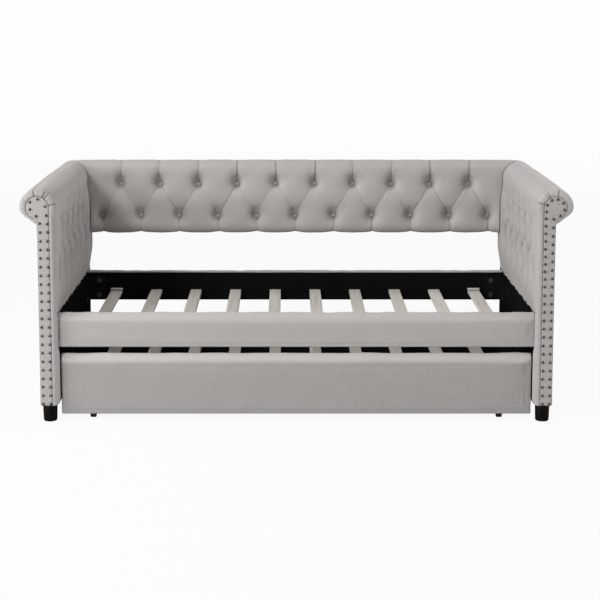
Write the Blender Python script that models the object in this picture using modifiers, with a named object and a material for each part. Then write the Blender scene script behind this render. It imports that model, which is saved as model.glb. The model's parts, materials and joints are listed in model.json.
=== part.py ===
"""Daybed with a roll-out trundle: upholstered scroll arms and back, slatted base.

Frame: metres, +Z up, +X along the length, the front faces -Y.
The origin is on the floor under the middle of the bed.
"""
import math

import bmesh
import bpy
from mathutils import Matrix, Vector

GAP = 0.0003                    # clearance between pieces that touch

# Arms
FRONT_Y, REAR_Y = -0.565, 0.565
INNER_X = 1.000                 # inner face of an arm below the mattress
PAD_X = 0.985                   # inner face of an arm where its padding is fullest
BOARD_X = 1.022                 # inner face of the arm's timber
OUTER_X = 1.072                 # outer face of the arm
ARM_BOTTOM = 0.069
ROLL_X, ROLL_Z = 1.0695, 0.907  # centre of the scroll
ROLL_R, CORE_R = 0.076, 0.0475  # padded scroll and its timber core
FACING = 0.005                  # thickness of the front facing
ARM_HEEL = 0.040                # radius of the arm's lower rear corner

# Rails and the slatted base
RAIL_FRONT_Y = -0.535
RAIL_Z0, RAIL_Z1 = 0.314, 0.457
RAIL_PAD, RAIL_BOARD = 0.018, 0.022
RAIL_CAP = 0.012                # padding over the top edge of a rail
WELL_Y0, WELL_Y1 = -0.495, 0.475
SLATS = 10
SLAT_PITCH, SLAT_WIDTH, SLAT_THICK = 0.191, 0.053, 0.018
SLAT_TOP = 0.365
CLEAT_DEPTH, CLEAT_HEIGHT, CLEAT_X = 0.025, 0.025, 0.900
BOLT_X, BOLT_HEIGHTS = 0.945, (0.339, 0.409)
BOLT_R, HOLE_R, WASHER_R = 0.004, 0.0045, 0.012
PLATE = 0.003                   # steel plate thickness
BRACKET_Z0, BRACKET_Z1 = 0.319, 0.429
BRACKET_LEG = 0.060             # length of a corner bracket along the arm
BRACKET_END = 0.030             # from its bolts to its free end

# Back
BACK_X = PAD_X - GAP
BACK_Z0, BACK_Z1 = 0.637, 0.985
BACK_PAD, BACK_CAP = 0.035, 0.024
EAR_END = 102                   # degrees round the scroll that the back's upper corners reach
EAR_CLEAR = 0.0006              # between an upper corner and the scroll

# Steel plates in the arms that hold the back
HANGER_Y, HANGER_WIDTH = 0.538, 0.030
HANGER_Z0, HANGER_Z1 = 0.68, 0.88
HANGER_HEIGHTS = (0.71, 0.85)
STUD_R, SOCKET_R = 0.005, 0.0055          # studs into the back, and the holes they enter
SCREW_R, SCREW_HOLE_R = 0.0055, 0.006     # screws into the arm's timber, and their holes
STUD_REACH, SOCKET_DEPTH = 0.030, 0.032
SCREW_REACH, SCREW_HOLE_DEPTH = 0.010, 0.012

# Feet
FOOT_X, FOOT_FRONT_Y, FOOT_REAR_Y = 1.036, -0.533, 0.488
FOOT_TOP_R, FOOT_BOTTOM_R = 0.0305, 0.0285

# Trundle
TRUNDLE_X = 0.9875
TRUNDLE_Z0, TRUNDLE_Z1 = 0.026, 0.2885
TRUNDLE_FRONT_Y, TRUNDLE_REAR_Y = -0.535, 0.483
TRUNDLE_PAD, TRUNDLE_BOARD, TRUNDLE_CAP = 0.0147, 0.012, 0.012
TRUNDLE_RAIL = 0.018
TRUNDLE_RAIL_Z0, TRUNDLE_RAIL_Z1 = 0.030, 0.170
TRUNDLE_SLAT_TOP = 0.105
TRUNDLE_CLEAT = (0.045, 0.025)  # depth and height
STRAP_Y, STRAP_WIDTH, STRAP_THICK = 0.30, 0.025, 0.002
WHEEL_R, WHEEL_WIDTH, AXLE_R = 0.022, 0.024, 0.004
CASTER_X = 0.860

COLOURS = {
    "fabric": ((0.62, 0.58, 0.53), 0.9, 0.0),
    "timber": ((0.66, 0.50, 0.32), 0.7, 0.0),
    "slat_wood": ((0.80, 0.66, 0.47), 0.6, 0.0),
    "black_lining": ((0.015, 0.015, 0.015), 0.85, 0.0),
    "black_foot": ((0.012, 0.012, 0.012), 0.4, 0.0),
    "black_steel": ((0.02, 0.02, 0.02), 0.45, 0.8),
    "zinc": ((0.62, 0.62, 0.60), 0.35, 1.0),
    "black_plastic": ((0.02, 0.02, 0.02), 0.5, 0.0),
}


def clear_scene():
    for obj in list(bpy.data.objects):
        bpy.data.objects.remove(obj, do_unlink=True)


def make_collection(name):
    collection = bpy.data.collections.new(name)
    bpy.context.scene.collection.children.link(collection)
    return collection


def make_material(name):
    colour, roughness, metallic = COLOURS[name]
    material = bpy.data.materials.new(name)
    material.use_nodes = True
    shader = material.node_tree.nodes["Principled BSDF"]
    shader.inputs["Base Color"].default_value = (*colour, 1.0)
    shader.inputs["Roughness"].default_value = roughness
    shader.inputs["Metallic"].default_value = metallic
    return material


clear_scene()
PARTS = make_collection("daybed")
CUTTERS = make_collection("cutters")
MATERIALS = {name: make_material(name) for name in COLOURS}


# ---- Shapes ----

def place(mesh, name, material):
    """Put a finished mesh among the parts."""
    obj = bpy.data.objects.new(name, mesh)
    mesh.materials.append(MATERIALS[material])
    PARTS.objects.link(obj)
    return obj


def to_mesh(bm, name):
    bmesh.ops.recalc_face_normals(bm, faces=bm.faces)
    mesh = bpy.data.meshes.new(name)
    bm.to_mesh(mesh)
    bm.free()
    return mesh


def box_mesh(name, low, high):
    bm = bmesh.new()
    bmesh.ops.create_cube(bm, size=1.0)
    size = [b - a for a, b in zip(low, high)]
    middle = [(a + b) / 2 for a, b in zip(low, high)]
    bmesh.ops.scale(bm, vec=size, verts=bm.verts)
    bmesh.ops.translate(bm, vec=middle, verts=bm.verts)
    return to_mesh(bm, name)


def box(name, material, low, high, radius=0.0, segments=2):
    obj = place(box_mesh(name, low, high), name, material)
    if radius:
        round_edges(obj, radius, segments)
    return obj


def round_edges(obj, radius, segments=2):
    bevel = obj.modifiers.new("round", "BEVEL")
    bevel.width = radius
    bevel.segments = segments
    bevel.limit_method = "ANGLE"


def extruded_mesh(name, outline, depth, plane):
    """A flat outline pushed through depth = (low, high).

    plane "XZ" reads the outline as (x, z) and pushes it along Y.
    plane "YZ" reads it as (y, z) and pushes it along X.
    """
    bm = bmesh.new()
    low, high = depth
    if plane == "XZ":
        verts = [bm.verts.new((a, low, b)) for a, b in outline]
        push = Vector((0, high - low, 0))
    else:
        verts = [bm.verts.new((low, a, b)) for a, b in outline]
        push = Vector((high - low, 0, 0))
    face = bm.faces.new(verts)
    grown = bmesh.ops.extrude_face_region(bm, geom=[face])
    moved = [item for item in grown["geom"] if isinstance(item, bmesh.types.BMVert)]
    bmesh.ops.translate(bm, vec=push, verts=moved)
    return to_mesh(bm, name)


def extruded(name, material, outline, depth, plane="XZ"):
    return place(extruded_mesh(name, outline, depth, plane), name, material)


def disc_mesh(name, centre, radius, length, axis, far_radius=None, sides=16):
    """A cylinder or cone about a world axis, centred on its length."""
    bm = bmesh.new()
    bmesh.ops.create_cone(
        bm, cap_ends=True, segments=sides, radius1=radius,
        radius2=radius if far_radius is None else far_radius, depth=length)
    turn = Vector((0, 0, 1)).rotation_difference(Vector(axis)).to_matrix().to_4x4()
    bmesh.ops.transform(bm, matrix=Matrix.Translation(centre) @ turn, verts=bm.verts)
    return to_mesh(bm, name)


def as_tool(mesh):
    """Make a mesh a hidden Boolean operand."""
    obj = bpy.data.objects.new("cut_" + mesh.name, mesh)
    obj.hide_render = True
    obj.display_type = "WIRE"
    CUTTERS.objects.link(obj)
    return obj


def combine(obj, mesh, operation):
    boolean = obj.modifiers.new(operation.lower(), "BOOLEAN")
    boolean.operation = operation
    boolean.object = as_tool(mesh)


def arc(centre, radius, start, end, steps):
    """Points on an arc, angles in degrees from +X towards +Z."""
    points = []
    for step in range(steps + 1):
        angle = math.radians(start + (end - start) * step / steps)
        points.append((centre[0] + radius * math.cos(angle), centre[1] + radius * math.sin(angle)))
    return points


def mirrored(outline, side):
    return [(side * x, z) for x, z in outline]


def span(side, low, high):
    """An x interval on the chosen side, lowest first."""
    return (low, high) if side > 0 else (-high, -low)


# ---- Arms ----

def keyhole(radius, inner_x):
    """Outline of the arm's timber: a straight post with a round scroll on top."""
    root = math.degrees(math.asin((OUTER_X - ROLL_X) / radius))
    scroll = arc((ROLL_X, ROLL_Z), radius, -90 + root, 180, 20)
    return [(inner_x, ARM_BOTTOM), (OUTER_X, ARM_BOTTOM)] + scroll + [(inner_x, ROLL_Z - 0.02)]


def arm_frame(side, label):
    outline = mirrored(keyhole(CORE_R - GAP, BOARD_X), side)
    obj = extruded("arm_frame_" + label, "timber", outline, (FRONT_Y + FACING + GAP, REAR_Y))
    combine(obj, heel_cutter(side), "DIFFERENCE")
    for z in HANGER_HEIGHTS:
        low, high = span(side, BOARD_X - 0.001, BOARD_X + SCREW_HOLE_DEPTH)
        centre = ((low + high) / 2, HANGER_Y, z)
        hole = disc_mesh("hanger_head", centre, SCREW_HOLE_R, high - low, (1, 0, 0))
        combine(obj, hole, "DIFFERENCE")


def heel_cutter(side):
    """Takes the lower rear corner off an arm and its lining, leaving it round."""
    edge_y, edge_z = REAR_Y + 0.01, ARM_BOTTOM - 0.01
    centre = (REAR_Y - ARM_HEEL, ARM_BOTTOM + ARM_HEEL)
    curve = arc(centre, ARM_HEEL, -90, 0, 5)
    outline = [(centre[0], edge_z), (edge_y, edge_z), (edge_y, centre[1])] + curve[::-1]
    return extruded_mesh("heel", outline, span(side, INNER_X - 0.01, OUTER_X + 0.01), "YZ")


def arm_facing(side, label):
    outline = mirrored(keyhole(CORE_R - GAP, BOARD_X), side)
    extruded("arm_facing_" + label, "fabric", outline, (FRONT_Y, FRONT_Y + FACING))


def arm_pad(side, label):
    """Padding down the inside of the arm, over the scroll and round to its underside."""
    core = CORE_R + 2 * GAP
    back = BOARD_X - GAP
    lower_edge = RAIL_Z1 + GAP
    underside = -86
    inside = [(back, lower_edge), (INNER_X, lower_edge), (INNER_X - 0.010, 0.50), (PAD_X + 0.002, 0.56),
              (PAD_X, 0.70), (PAD_X + 0.002, 0.83)]
    over = arc((ROLL_X, ROLL_Z), ROLL_R, 180, underside, 20)
    under = arc((ROLL_X, ROLL_Z), core, underside, 180, 20)
    outline = mirrored(inside + over + under, side)
    obj = extruded("arm_pad_" + label, "fabric", outline, (FRONT_Y, REAR_Y))
    low, high = span(side, INNER_X, back)
    strip = box_mesh("strip", (low, FRONT_Y, ARM_BOTTOM), (high, RAIL_FRONT_Y, lower_edge + 0.01))
    combine(obj, strip, "UNION")
    low, high = span(side, BOARD_X - PLATE - 3 * GAP, BOARD_X + 0.01)
    half = HANGER_WIDTH / 2 + 0.0005
    pocket = box_mesh("pocket", (low, HANGER_Y - half, HANGER_Z0 - 2 * GAP),
                      (high, HANGER_Y + half, HANGER_Z1 + 2 * GAP))
    combine(obj, pocket, "DIFFERENCE")
    for z in HANGER_HEIGHTS:
        low, high = span(side, BACK_X - 0.01, BOARD_X)
        centre = ((low + high) / 2, HANGER_Y, z)
        combine(obj, disc_mesh("pin_hole", centre, SOCKET_R, high - low, (1, 0, 0)), "DIFFERENCE")


def arm_side_board(side, label):
    low, high = span(side, INNER_X, BOARD_X - GAP)
    obj = box("arm_side_board_" + label, "black_lining",
              (low, RAIL_FRONT_Y + GAP, ARM_BOTTOM), (high, REAR_Y, RAIL_Z1))
    combine(obj, heel_cutter(side), "DIFFERENCE")


# ---- Back ----

def back_frame():
    low = (-BACK_X, WELL_Y1 + BACK_PAD + GAP, BACK_Z0)
    high = (BACK_X, REAR_Y, BACK_Z1 - BACK_CAP - GAP)
    obj = box("back_frame", "timber", low, high)
    for side in (-1, 1):
        for z in HANGER_HEIGHTS:
            start, end = span(side, BACK_X - SOCKET_DEPTH, BACK_X + 0.01)
            centre = ((start + end) / 2, HANGER_Y, z)
            hole = disc_mesh("socket", centre, SOCKET_R, end - start, (1, 0, 0))
            combine(obj, hole, "DIFFERENCE")


def back_pad():
    """Front slab with a rounded cap over the top of the frame."""
    front, top = WELL_Y1, BACK_Z1
    shoulder = 0.035
    nose = arc((front + shoulder, top - shoulder), shoulder, 180, 90, 6)
    inside = (front + BACK_PAD, top - BACK_CAP)
    outline = [(front + 0.006, BACK_Z0), (front, BACK_Z0 + 0.012)] + nose
    outline += [(REAR_Y - 0.008, top), (REAR_Y, top - 0.008), (REAR_Y, inside[1]), inside]
    outline += [(inside[0], BACK_Z0)]
    obj = extruded("back_pad", "fabric", outline, (-BACK_X, BACK_X), "YZ")
    start, frame_face = front + 0.010, front + BACK_PAD
    for side in (-1, 1):
        for overlap, depth in ((0.004, (start, frame_face)), (-GAP, (frame_face - 0.002, REAR_Y))):
            ear = extruded_mesh("ear", mirrored(back_ear(overlap), side), depth, "XZ")
            combine(obj, ear, "UNION")


def back_ear(overlap):
    """Outline (x, z) of the padding that fills the right corner above the arm's scroll.

    overlap is how far it runs in over the slab's own end.
    """
    inner, low, top = BACK_X - overlap, ROLL_Z - 0.02, BACK_Z1 - 0.0004
    over = arc((ROLL_X, ROLL_Z), ROLL_R + EAR_CLEAR, 180, EAR_END, 16)
    return [(inner, low), (BACK_X + 0.001, low)] + over + [(over[-1][0], top), (inner, top)]


def back_bracket(side, label):
    """Steel plate let into the arm, with two studs that enter the back's frame."""
    low, high = span(side, BOARD_X - GAP - PLATE, BOARD_X - GAP)
    obj = box("back_bracket_" + label, "black_steel", (low, HANGER_Y - HANGER_WIDTH / 2, HANGER_Z0),
              (high, HANGER_Y + HANGER_WIDTH / 2, HANGER_Z1))
    for z in HANGER_HEIGHTS:
        start, end = span(side, BACK_X - STUD_REACH, BOARD_X - GAP - PLATE / 2)
        centre = ((start + end) / 2, HANGER_Y, z)
        combine(obj, disc_mesh("stud", centre, STUD_R, end - start, (1, 0, 0)), "UNION")
        start, end = span(side, BOARD_X - GAP - PLATE / 2, BOARD_X + SCREW_REACH)
        centre = ((start + end) / 2, HANGER_Y, z)
        combine(obj, disc_mesh("screw", centre, SCREW_R, end - start, (1, 0, 0)), "UNION")


# ---- Rails, brackets and bolts ----

def rail_bounds(facing):
    """Depths of a rail: its outer pad face, pad/board joint and inner face.

    facing is -1 for the front rail and +1 for the rear rail.
    """
    inner = WELL_Y0 if facing < 0 else WELL_Y1
    joint = inner + facing * RAIL_BOARD
    return joint + facing * RAIL_PAD, joint, inner


def rail(facing, label):
    outer, joint, inner = rail_bounds(facing)
    edges = sorted((joint, inner))
    top = RAIL_Z1 - RAIL_CAP - GAP
    obj = box(label + "_rail_board", "black_lining", (-INNER_X + GAP, edges[0], RAIL_Z0),
              (INNER_X - GAP, edges[1], top))
    for side in (-1, 1):
        for z in BOLT_HEIGHTS:
            start, end = sorted((inner - facing * 0.01, inner + facing * 0.020))
            centre = (side * BOLT_X, (start + end) / 2, z)
            hole = disc_mesh("bolt_hole", centre, HOLE_R, end - start, (0, 1, 0), sides=12)
            combine(obj, hole, "DIFFERENCE")
    rail_pad(label, facing, outer, joint, inner)


def rail_pad(label, facing, outer, joint, inner):
    """Padding on the outside of a rail, lapped over its top edge."""
    radius = RAIL_CAP
    start = outer - facing * radius
    curve = [(start + facing * (x - start), z) for x, z in
             arc((start, RAIL_Z1 - radius), radius, 0, 90, 4)]
    outline = [(joint + facing * GAP, RAIL_Z0), (outer - facing * 0.004, RAIL_Z0)]
    outline += [(outer, RAIL_Z0 + 0.006)] + curve
    outline += [(inner, RAIL_Z1), (inner, RAIL_Z1 - RAIL_CAP), (joint + facing * GAP, RAIL_Z1 - RAIL_CAP)]
    length = (-INNER_X + GAP, INNER_X - GAP)
    extruded(label + "_rail_pad", "fabric", outline, length, "YZ")


def slat_cleat(facing, label):
    inner = rail_bounds(facing)[2] - facing * GAP
    edges = sorted((inner, inner - facing * CLEAT_DEPTH))
    top = SLAT_TOP - SLAT_THICK
    box("slat_cleat_" + label, "black_lining", (-CLEAT_X, edges[0], top - CLEAT_HEIGHT),
        (CLEAT_X, edges[1], top))


def bed_slat(index):
    x = (index - (SLATS - 1) / 2) * SLAT_PITCH
    low = (x - SLAT_WIDTH / 2, WELL_Y0 + 0.002, SLAT_TOP - SLAT_THICK + GAP)
    high = (x + SLAT_WIDTH / 2, WELL_Y1 - 0.002, SLAT_TOP)
    box(f"bed_slat_{index + 1:02d}", "slat_wood", low, high, 0.002, 1)


def corner_bracket(side, facing, label):
    """Black steel angle between a rail and an arm's side board."""
    inner = rail_bounds(facing)[2] - facing * GAP
    face = sorted((inner, inner - facing * PLATE))
    low, high = span(side, BOLT_X - BRACKET_END, INNER_X - GAP)
    obj = box("corner_bracket_" + label, "black_steel", (low, face[0], BRACKET_Z0),
              (high, face[1], BRACKET_Z1))
    leg = sorted((inner, inner - facing * BRACKET_LEG))
    low, high = span(side, INNER_X - GAP - PLATE, INNER_X - GAP)
    plate = box_mesh("leg", (low, leg[0], BRACKET_Z0), (high, leg[1], BRACKET_Z1))
    combine(obj, plate, "UNION")
    for z in BOLT_HEIGHTS:
        centre = (side * BOLT_X, inner, z)
        hole = disc_mesh("bracket_hole", centre, HOLE_R, 0.02, (0, 1, 0), sides=12)
        combine(obj, hole, "DIFFERENCE")


def rail_bolt(side, facing, level, label):
    """Washer, domed head and shank as one zinc-plated bolt."""
    seat = rail_bounds(facing)[2] - facing * (2 * GAP + PLATE)
    x, z = side * BOLT_X, BOLT_HEIGHTS[level]
    washer = 0.002
    head = 0.0055
    centre = (x, seat - facing * washer / 2, z)
    mesh = disc_mesh("rail_bolt_" + label, centre, WASHER_R, washer, (0, 1, 0))
    obj = place(mesh, "rail_bolt_" + label, "zinc")
    centre = (x, seat - facing * (washer / 2 + head / 2), z)
    combine(obj, disc_mesh("head", centre, 0.0075, head + washer, (0, 1, 0), sides=6), "UNION")
    shank = PLATE + 0.018
    centre = (x, seat + facing * (shank / 2 - washer / 4), z)
    combine(obj, disc_mesh("shank", centre, BOLT_R, shank, (0, 1, 0), sides=12), "UNION")


def foot(side, y, label):
    height = ARM_BOTTOM - GAP
    centre = (side * FOOT_X, y, height / 2)
    mesh = disc_mesh("foot_" + label, centre, FOOT_BOTTOM_R, height, (0, 0, 1), FOOT_TOP_R, 32)
    place(mesh, "foot_" + label, "black_foot")


# ---- Trundle ----

BOARD_FACE = TRUNDLE_FRONT_Y + TRUNDLE_PAD + GAP
BOARD_REAR = BOARD_FACE + TRUNDLE_BOARD
RAIL_INNER_Y = TRUNDLE_REAR_Y - TRUNDLE_RAIL


def trundle_front():
    top = TRUNDLE_Z1 - TRUNDLE_CAP
    box("trundle_front_board", "black_lining", (-TRUNDLE_X, BOARD_FACE, TRUNDLE_RAIL_Z0),
        (TRUNDLE_X, BOARD_REAR, top - GAP))
    nose = arc((TRUNDLE_FRONT_Y + TRUNDLE_CAP, TRUNDLE_Z1 - TRUNDLE_CAP), TRUNDLE_CAP, 180, 90, 4)
    outline = [(BOARD_FACE - GAP, TRUNDLE_Z0), (TRUNDLE_FRONT_Y + 0.004, TRUNDLE_Z0)]
    outline += [(TRUNDLE_FRONT_Y, TRUNDLE_Z0 + 0.006)] + nose
    outline += [(BOARD_REAR, TRUNDLE_Z1), (BOARD_REAR, top), (BOARD_FACE - GAP, top)]
    extruded("trundle_front_pad", "fabric", outline, (-TRUNDLE_X, TRUNDLE_X), "YZ")


def trundle_rails():
    z = (TRUNDLE_RAIL_Z0, TRUNDLE_RAIL_Z1)
    for side, label in ((-1, "left"), (1, "right")):
        low, high = span(side, TRUNDLE_X - TRUNDLE_RAIL, TRUNDLE_X)
        box("trundle_side_rail_" + label, "black_lining", (low, BOARD_REAR + GAP, z[0]),
            (high, RAIL_INNER_Y - GAP, z[1]))
    box("trundle_rear_rail", "black_lining", (-TRUNDLE_X, RAIL_INNER_Y, z[0]),
        (TRUNDLE_X, TRUNDLE_REAR_Y, z[1]))


def trundle_cleat(facing, label):
    depth, height = TRUNDLE_CLEAT
    start = BOARD_REAR + GAP if facing < 0 else RAIL_INNER_Y - GAP
    edges = sorted((start, start - facing * depth))
    top = TRUNDLE_SLAT_TOP - SLAT_THICK
    end = TRUNDLE_X - TRUNDLE_RAIL - GAP
    box("trundle_cleat_" + label, "black_lining", (-end, edges[0], top - height), (end, edges[1], top))


def trundle_slat_set():
    """Ten slats joined underneath by two webbing straps."""
    low_z = TRUNDLE_SLAT_TOP - SLAT_THICK + GAP
    ends = (BOARD_REAR + 0.002, RAIL_INNER_Y - 0.002)
    reach = (SLATS - 1) / 2 * SLAT_PITCH + SLAT_WIDTH / 2 - 0.004
    straps = []
    for y in (-STRAP_Y, STRAP_Y):
        straps.append(box_mesh("strap", (-reach, y - STRAP_WIDTH / 2, low_z - STRAP_THICK),
                               (reach, y + STRAP_WIDTH / 2, low_z + STRAP_THICK / 2)))
    obj = place(straps[0], "trundle_slat_set", "slat_wood")
    for index in range(SLATS):
        x = (index - (SLATS - 1) / 2) * SLAT_PITCH
        slat = box_mesh("slat", (x - SLAT_WIDTH / 2, ends[0], low_z),
                        (x + SLAT_WIDTH / 2, ends[1], TRUNDLE_SLAT_TOP))
        combine(obj, slat, "UNION")
    combine(obj, straps[1], "UNION")


def caster_y(facing):
    if facing < 0:
        return BOARD_REAR + WHEEL_R
    return RAIL_INNER_Y - WHEEL_R - 0.001


def caster_fork(side, facing, label):
    """Fixed fork: a top plate, two cheeks and the axle between them."""
    top = TRUNDLE_SLAT_TOP - SLAT_THICK - TRUNDLE_CLEAT[1] - GAP
    x, y = side * CASTER_X, caster_y(facing)
    cheek_in, cheek_out = WHEEL_WIDTH / 2 + 0.001, WHEEL_WIDTH / 2 + 0.003
    cheek_y = 0.008
    plate_y = sorted((y + facing * 0.020, y - facing * 0.022))
    obj = box("caster_fork_" + label, "black_steel", (x - 0.024, plate_y[0], top - 0.0025),
              (x + 0.024, plate_y[1], top))
    for turn in (-1, 1):
        edges = sorted((x + turn * cheek_in, x + turn * cheek_out))
        low = (edges[0], y - cheek_y, WHEEL_R - 0.007)
        high = (edges[1], y + cheek_y, top - 0.001)
        combine(obj, box_mesh("cheek", low, high), "UNION")
    axle = disc_mesh("axle", (x, y, WHEEL_R), AXLE_R, 2 * cheek_out + 0.002, (1, 0, 0))
    combine(obj, axle, "UNION")


def caster_wheel(side, facing, label):
    """Wheel with its origin on its axle."""
    name = "caster_wheel_" + label
    mesh = disc_mesh(name, (0, 0, 0), WHEEL_R, WHEEL_WIDTH, (1, 0, 0), sides=48)
    obj = place(mesh, name, "black_plastic")
    obj.location = (side * CASTER_X, caster_y(facing), WHEEL_R)
    hole = disc_mesh("bore", obj.location, AXLE_R + GAP, WHEEL_WIDTH + 0.01, (1, 0, 0))
    combine(obj, hole, "DIFFERENCE")


# ---- Assembly ----

SIDES = ((-1, "left"), (1, "right"))
ENDS = ((-1, "front"), (1, "rear"))


def build_daybed():
    for side, label in SIDES:
        arm_frame(side, label)
        arm_pad(side, label)
        arm_facing(side, label)
        arm_side_board(side, label)
        back_bracket(side, label)
    back_frame()
    back_pad()
    for facing, label in ENDS:
        rail(facing, label)
        slat_cleat(facing, label)
    for index in range(SLATS):
        bed_slat(index)
    for side, x_label in SIDES:
        foot(side, FOOT_FRONT_Y, "front_" + x_label)
        foot(side, FOOT_REAR_Y, "rear_" + x_label)
        for facing, y_label in ENDS:
            corner = y_label + "_" + x_label
            corner_bracket(side, facing, corner)
            rail_bolt(side, facing, 0, corner + "_lower")
            rail_bolt(side, facing, 1, corner + "_upper")


def build_trundle():
    trundle_front()
    trundle_rails()
    trundle_slat_set()
    for facing, y_label in ENDS:
        trundle_cleat(facing, y_label)
        for side, x_label in SIDES:
            caster_fork(side, facing, y_label + "_" + x_label)
            caster_wheel(side, facing, y_label + "_" + x_label)


build_daybed()
build_trundle()
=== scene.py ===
"""Looks of the daybed: tufted upholstery, nailheads, linings, wood, and a plain studio.

Every length is in metres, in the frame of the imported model. The front faces -Y.
"""
import json
import math

import bmesh
import bpy
import numpy as np
from mathutils import Matrix, Vector

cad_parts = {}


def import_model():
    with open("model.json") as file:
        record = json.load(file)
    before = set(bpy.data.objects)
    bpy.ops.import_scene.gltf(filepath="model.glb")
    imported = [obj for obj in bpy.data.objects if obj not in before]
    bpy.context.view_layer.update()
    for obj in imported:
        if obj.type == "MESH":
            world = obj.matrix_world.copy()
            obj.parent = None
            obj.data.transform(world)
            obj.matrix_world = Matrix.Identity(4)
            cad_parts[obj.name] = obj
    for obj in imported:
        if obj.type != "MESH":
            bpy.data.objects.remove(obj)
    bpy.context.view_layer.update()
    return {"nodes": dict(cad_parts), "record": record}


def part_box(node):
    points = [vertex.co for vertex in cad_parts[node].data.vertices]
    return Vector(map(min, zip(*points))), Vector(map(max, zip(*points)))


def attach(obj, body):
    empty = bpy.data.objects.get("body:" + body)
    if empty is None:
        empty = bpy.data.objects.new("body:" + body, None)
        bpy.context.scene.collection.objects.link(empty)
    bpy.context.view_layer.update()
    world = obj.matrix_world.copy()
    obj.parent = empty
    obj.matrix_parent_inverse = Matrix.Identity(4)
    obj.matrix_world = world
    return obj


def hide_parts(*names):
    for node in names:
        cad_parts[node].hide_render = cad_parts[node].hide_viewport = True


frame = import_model()
SIDES = ((-1, "left"), (1, "right"))

# Places read from the frame
ARM_LOW, ARM_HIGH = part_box("arm_pad_right")
FACE_LOW, FACE_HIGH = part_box("arm_facing_right")
LINING_LOW, LINING_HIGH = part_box("arm_side_board_right")
BACK_LOW, BACK_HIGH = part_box("back_pad")
FRONT_Y, REAR_Y = ARM_LOW.y, ARM_HIGH.y
BACK_HALF = ARM_LOW.x - 0.0015  # half the width of the back's cover between the arms
INNER_X = LINING_LOW.x
BOARD_X = FACE_LOW.x
ARM_BOTTOM = FACE_LOW.z
DECK_Z = LINING_HIGH.z

# Scroll of the arm
CORE_R = 0.0472
ROLL_X, ROLL_Z = FACE_HIGH.x - CORE_R, FACE_HIGH.z - CORE_R
ROLL_CENTRE = (ROLL_X, ROLL_Z)
ROLL_R = ARM_HIGH.x - ROLL_X
OUTER_X = ROLL_X + 0.0025
NECK = (OUTER_X + 0.0015, 0.8345)
LIP = ((-27, 0.0672), (-13, 0.0738))   # from the neck to the roll: degrees, distance from its middle
ROLL_EASE = 0.05                # how far below its middle the roll runs into the inner face

# Tufting
BACK_PITCH = 0.1853
BACK_ROWS = (0.881, 0.727)      # heights of the upper and lower buttons
ARM_PITCH = 0.168
ARM_ROWS = (0.775, 0.630)
COARSE = 0.011                  # spacing of a simulated mesh
ARM_COARSE = 0.0124             # the same along an arm, which keeps its cover under 200,000 triangles
FINE = 3                        # fine points for each simulated one
SIM_FRAMES = 18


# ---- Grids: grid[i, j] is a point, i round the section and j along the length ----

def resample(grid, axis, factor, closed):
    """Smoothly interpolate a grid along one axis (Catmull-Rom)."""
    count = grid.shape[axis]
    spans = count if closed else count - 1
    steps = np.arange(spans * factor + (0 if closed else 1)) / factor
    base = np.minimum(steps.astype(int), spans - (0 if closed else 1))
    t = (steps - base).reshape([-1 if a == axis else 1 for a in range(grid.ndim)])
    points = []
    for shift in (-1, 0, 1, 2):
        index = base + shift
        index = index % count if closed else np.clip(index, 0, count - 1)
        points.append(np.take(grid, index, axis=axis))
    a, b, c, d = points
    return 0.5 * (2 * b + (c - a) * t + (2 * a - 5 * b + 4 * c - d) * t ** 2
                  + (3 * b - a - 3 * c + d) * t ** 3)


def refine(grid):
    return resample(resample(grid, 0, FINE, True), 1, FINE, False)


def grid_normals(grid):
    """Unit normals of a grid whose sections are closed."""
    round_section = np.roll(grid, -1, 0) - np.roll(grid, 1, 0)
    along = np.gradient(grid, axis=1)
    normal = np.cross(along, round_section)
    return normal / np.maximum(np.linalg.norm(normal, axis=2, keepdims=True), 1e-9)


def grid_mesh(name, grid, painted_shading=None):
    """Closed mesh: quads round the grid, one face over each end.

    painted_shading, where given, is how much painted shade each point gets, from 0 to 1, in creases,
    round buttons and along seams and lower edges; from 0 to -1 it is painted light, where a face or a top
    edge is painted lighter.
    """
    rows, cols = grid.shape[:2]
    i = np.repeat(np.arange(rows), cols - 1)
    j = np.tile(np.arange(cols - 1), rows)
    k = (i + 1) % rows
    quads = np.stack([i * cols + j, i * cols + j + 1, k * cols + j + 1, k * cols + j], 1)
    first = [int(r * cols) for r in range(rows)]
    last = [int(r * cols + cols - 1) for r in reversed(range(rows))]
    mesh = bpy.data.meshes.new(name)
    mesh.from_pydata(grid.reshape(-1, 3).tolist(), [], quads.tolist() + [first, last])
    fix_normals(mesh)
    # Painted shade and painted light, kept for the fabric material to darken and lighten its colour.
    if painted_shading is not None:
        values = mesh.attributes.new("painted_shading", "FLOAT", "POINT")
        values.data.foreach_set("value", np.clip(painted_shading, -1, 1).reshape(-1).astype(np.float32))
    return mesh


def fix_normals(mesh):
    bm = bmesh.new()
    bm.from_mesh(mesh)
    bmesh.ops.recalc_face_normals(bm, faces=bm.faces)
    bm.to_mesh(mesh)
    bm.free()
    mesh.shade_smooth()


def smoothstep(low, high, value):
    t = np.clip((value - low) / (high - low), 0.0, 1.0)
    return t * t * (3 - 2 * t)


def ripple(a, b, wavelength, seed):
    """Smooth wandering values about -1 to 1, from a few seeded waves."""
    rng = np.random.default_rng(seed)
    total = np.zeros(np.broadcast(a, b).shape)
    for _ in range(7):
        angle, phase = rng.uniform(0, math.tau, 2)
        k = math.tau / (wavelength * rng.uniform(0.6, 1.7))
        total += np.sin(k * (a * math.cos(angle) + b * math.sin(angle)) + phase)
    return total / 3.5


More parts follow.
